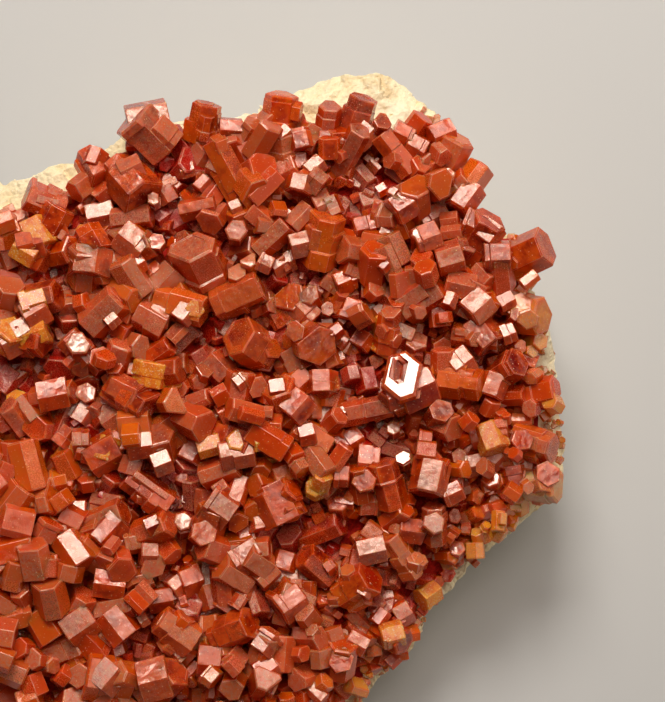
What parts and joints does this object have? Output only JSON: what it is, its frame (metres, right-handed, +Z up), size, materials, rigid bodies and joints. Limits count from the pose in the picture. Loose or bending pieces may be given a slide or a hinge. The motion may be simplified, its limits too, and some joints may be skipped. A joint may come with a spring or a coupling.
{
  "type": "vanadinite on matrix mineral specimen",
  "caption": "Hand specimen of red-orange vanadinite: six-sided prisms standing out of a crust of small crystals on a wedge of pale rock with a flat underside.",
  "frame": {"origin": "on the resting surface, under the middle of the specimen's bounding box", "axes": "+Z up out of the crystal-covered face; the face slopes down towards -Y, and its bare rim is at +Y"},
  "size_m": [0.102, 0.1048, 0.0354],
  "materials": {
    "rock": "rough, earthy, pale cream barite and limonite rock",
    "crust": "small glassy crystals, red-brown to orange",
    "red_crystal": "resinous to glassy faces, slightly translucent, deep red-orange",
    "orange_crystal": "resinous to glassy faces, slightly translucent, bright orange",
    "amber_crystal": "glassy, translucent, yellow-brown",
    "pale_crystal": "frosted, cream with an orange body"
  },
  "bodies": {
    "root": {"amber_crystal_01": "amber_crystal", "matrix_rock": "rock", "orange_crystal_01": "orange_crystal", "orange_crystal_02": "orange_crystal", "orange_crystal_03": "orange_crystal", "orange_crystal_04": "orange_crystal", "orange_crystal_05": "orange_crystal", "orange_crystal_06": "orange_crystal", "orange_crystal_07": "orange_crystal", "orange_crystal_08": "orange_crystal", "orange_crystal_09": "orange_crystal", "orange_crystal_10": "orange_crystal", "orange_crystal_11": "orange_crystal", "orange_crystal_12": "orange_crystal", "orange_crystal_13": "orange_crystal", "orange_crystal_14": "orange_crystal", "orange_crystal_15": "orange_crystal", "orange_crystal_16": "orange_crystal", "pale_crystal_01": "pale_crystal", "red_crystal_01": "red_crystal", "red_crystal_02": "red_crystal", "red_crystal_03": "red_crystal", "red_crystal_04": "red_crystal", "red_crystal_05": "red_crystal", "red_crystal_06": "red_crystal", "red_crystal_07": "red_crystal", "red_crystal_08": "red_crystal", "red_crystal_09": "red_crystal", "red_crystal_10": "red_crystal", "red_crystal_11": "red_crystal", "red_crystal_12": "red_crystal", "red_crystal_13": "red_crystal", "red_crystal_14": "red_crystal", "red_crystal_15": "red_crystal", "red_crystal_16": "red_crystal", "red_crystal_17": "red_crystal", "red_crystal_18": "red_crystal", "red_crystal_19": "red_crystal", "red_crystal_20": "red_crystal", "red_crystal_21": "red_crystal", "red_crystal_22": "red_crystal", "red_crystal_23": "red_crystal", "red_crystal_24": "red_crystal", "red_crystal_25": "red_crystal", "red_crystal_26": "red_crystal", "red_crystal_27": "red_crystal", "red_crystal_28": "red_crystal", "red_crystal_group_01": "red_crystal", "red_crystal_group_02": "red_crystal", "red_crystal_group_03": "red_crystal", "red_crystal_group_04": "red_crystal", "red_crystal_group_05": "red_crystal", "small_crystal_crust": "crust"}
  },
  "joints": []
}
